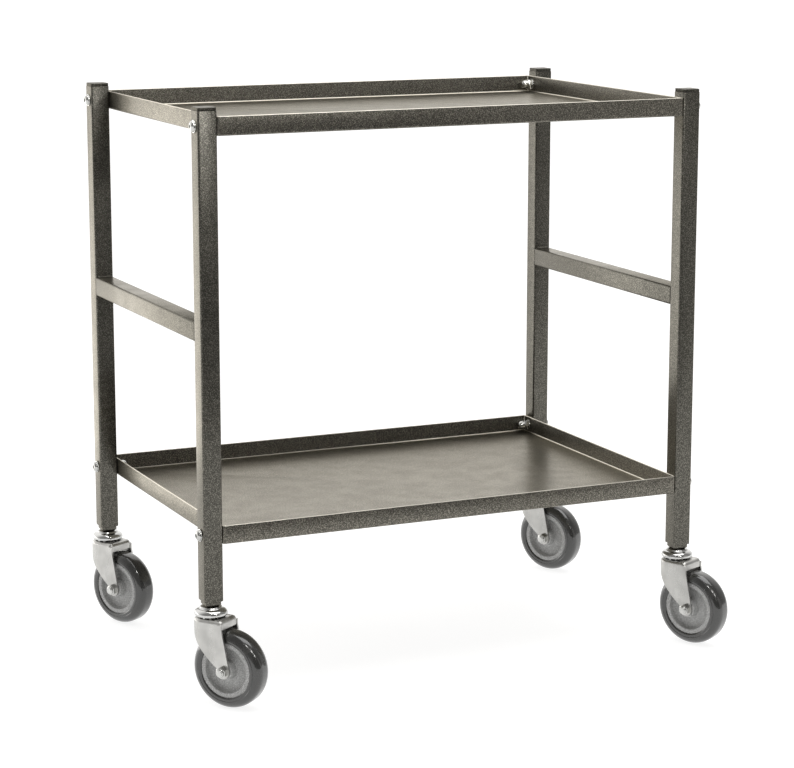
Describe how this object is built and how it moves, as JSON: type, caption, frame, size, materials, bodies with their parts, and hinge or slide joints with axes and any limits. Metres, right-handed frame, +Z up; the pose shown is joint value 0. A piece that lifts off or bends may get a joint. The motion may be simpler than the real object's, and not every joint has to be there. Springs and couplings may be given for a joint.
{
  "type": "instrument cart",
  "caption": "Two-shelf instrument cart with lipped sheet trays, square-tube legs, side rails and swivel casters.",
  "frame": {"origin": "on the floor, under the middle of the rectangle of the four legs", "axes": "+Z up; +X along the long side, from the left rail to the right rail; +Y from the front to the back"},
  "size_m": [0.7428, 0.5106, 0.75],
  "materials": {
    "frame_paint": "hammertone bronze-grey paint, semi-gloss",
    "cap_paint": "hammertone bronze-grey paint, semi-gloss",
    "tray_paint": "hammertone bronze-grey paint, semi-gloss",
    "fastener_zinc": "bright zinc plate",
    "stem_steel": "plain turned steel",
    "head_chrome": "polished plate",
    "ball_steel": "polished ball steel",
    "fork_zinc": "satin zinc plate",
    "hub_plastic": "moulded grey plastic, satin",
    "tyre_rubber": "smooth dark grey tread, glossy"
  },
  "bodies": {
    "cart_frame": {"leg_front_left": "frame_paint", "leg_cap_front_left": "cap_paint", "caster_socket_front_left": "frame_paint", "caster_stem_front_left": "stem_steel", "swivel_head_front_left": "head_chrome", "leg_front_right": "frame_paint", "leg_cap_front_right": "cap_paint", "caster_socket_front_right": "frame_paint", "caster_stem_front_right": "stem_steel", "swivel_head_front_right": "head_chrome", "leg_back_left": "frame_paint", "leg_cap_back_left": "cap_paint", "caster_socket_back_left": "frame_paint", "caster_stem_back_left": "stem_steel", "swivel_head_back_left": "head_chrome", "leg_back_right": "frame_paint", "leg_cap_back_right": "cap_paint", "caster_socket_back_right": "frame_paint", "caster_stem_back_right": "stem_steel", "swivel_head_back_right": "head_chrome", "side_rail_left": "frame_paint", "rail_welds_left": "frame_paint", "side_rail_right": "frame_paint", "rail_welds_right": "frame_paint", "upper_tray": "tray_paint", "lower_tray": "tray_paint", "tray_bolts": "fastener_zinc", "tray_nuts": "fastener_zinc", "tray_washers": "fastener_zinc"},
    "caster_fork_front_left": {"fork_front_left": "fork_zinc", "swivel_balls_front_left": "ball_steel", "axle_bolt_front_left": "fastener_zinc", "axle_nut_front_left": "fastener_zinc", "axle_sleeve_front_left": "stem_steel"},
    "caster_wheel_front_left": {"wheel_hub_front_left": "hub_plastic", "tyre_front_left": "tyre_rubber"},
    "caster_fork_front_right": {"fork_front_right": "fork_zinc", "swivel_balls_front_right": "ball_steel", "axle_bolt_front_right": "fastener_zinc", "axle_nut_front_right": "fastener_zinc", "axle_sleeve_front_right": "stem_steel"},
    "caster_wheel_front_right": {"wheel_hub_front_right": "hub_plastic", "tyre_front_right": "tyre_rubber"},
    "caster_fork_back_left": {"fork_back_left": "fork_zinc", "swivel_balls_back_left": "ball_steel", "axle_bolt_back_left": "fastener_zinc", "axle_nut_back_left": "fastener_zinc", "axle_sleeve_back_left": "stem_steel"},
    "caster_wheel_back_left": {"wheel_hub_back_left": "hub_plastic", "tyre_back_left": "tyre_rubber"},
    "caster_fork_back_right": {"fork_back_right": "fork_zinc", "swivel_balls_back_right": "ball_steel", "axle_bolt_back_right": "fastener_zinc", "axle_nut_back_right": "fastener_zinc", "axle_sleeve_back_right": "stem_steel"},
    "caster_wheel_back_right": {"wheel_hub_back_right": "hub_plastic", "tyre_back_right": "tyre_rubber"}
  },
  "joints": [
    {"name": "swivel_front_left", "type": "hinge", "parent": "cart_frame", "child": "caster_fork_front_left", "pos_m": [-0.3375, -0.2075, 0.1153], "axis": [0, 0, 1], "continuous": true},
    {"name": "wheel_spin_front_left", "type": "hinge", "parent": "caster_fork_front_left", "child": "caster_wheel_front_left", "pos_m": [-0.32035, -0.23026, 0.05], "axis": [0.7986, 0.6018, 0], "continuous": true},
    {"name": "swivel_front_right", "type": "hinge", "parent": "cart_frame", "child": "caster_fork_front_right", "pos_m": [0.3375, -0.2075, 0.1153], "axis": [0, 0, 1], "continuous": true},
    {"name": "wheel_spin_front_right", "type": "hinge", "parent": "caster_fork_front_right", "child": "caster_wheel_front_right", "pos_m": [0.34999, -0.23312, 0.05], "axis": [0.8988, 0.4384, 0], "continuous": true},
    {"name": "swivel_back_left", "type": "hinge", "parent": "cart_frame", "child": "caster_fork_back_left", "pos_m": [-0.3375, 0.2075, 0.1153], "axis": [0, 0, 1], "continuous": true},
    {"name": "wheel_spin_back_left", "type": "hinge", "parent": "caster_fork_back_left", "child": "caster_wheel_back_left", "pos_m": [-0.32456, 0.18211, 0.05], "axis": [0.891, 0.454, 0], "continuous": true},
    {"name": "swivel_back_right", "type": "hinge", "parent": "cart_frame", "child": "caster_fork_back_right", "pos_m": [0.3375, 0.2075, 0.1153], "axis": [0, 0, 1], "continuous": true},
    {"name": "wheel_spin_back_right", "type": "hinge", "parent": "caster_fork_back_right", "child": "caster_wheel_back_right", "pos_m": [0.35088, 0.18234, 0.05], "axis": [0.8829, 0.4695, 0], "continuous": true}
  ]
}
